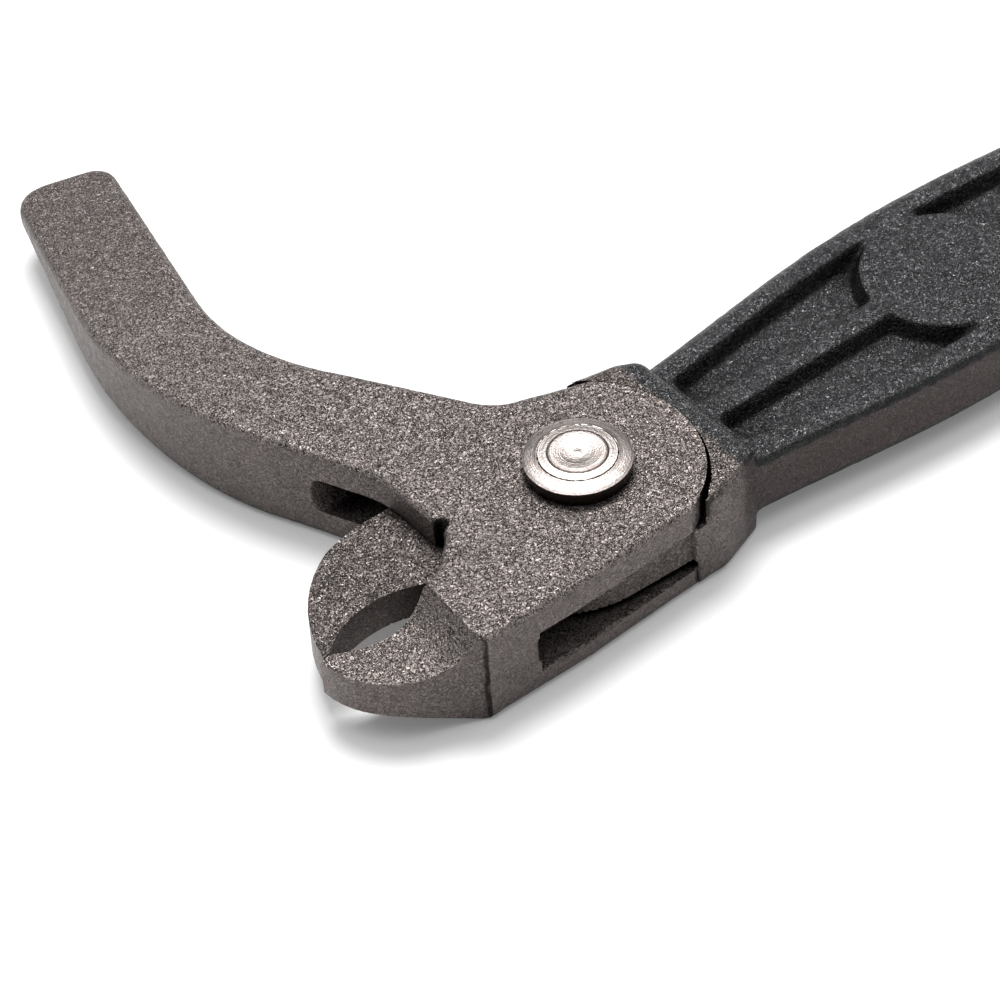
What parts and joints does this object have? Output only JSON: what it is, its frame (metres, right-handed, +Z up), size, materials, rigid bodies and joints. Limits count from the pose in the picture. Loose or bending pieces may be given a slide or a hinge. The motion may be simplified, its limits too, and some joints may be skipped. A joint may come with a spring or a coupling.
{
  "type": "fencing pliers",
  "caption": "Drop-forged jaw-type fencing staple puller with crescent pincer jaws, a curved prying foot and a black painted channelled handle.",
  "frame": {"origin": "where the pivot axis meets the flat underside of the head", "axes": "+X along the handle away from the head, +Y towards the curved foot, +Z up the pivot axis; the jaws point to -X"},
  "size_m": [0.3, 0.129, 0.0193],
  "materials": {
    "forged_steel": "matte forged steel",
    "lever_steel": "satin black paint",
    "turned_steel": "turned"
  },
  "bodies": {
    "handle": {"handle_lever": "lever_steel"},
    "head": {"foot_jaw": "forged_steel", "pivot_pin": "turned_steel", "pivot_washer": "turned_steel"}
  },
  "joints": [
    {"name": "jaw_pivot", "type": "hinge", "parent": "handle", "child": "head", "pos_m": [0, 0, 0.008], "axis": [0, 0, 1], "range_deg": [0, 21.5]}
  ]
}
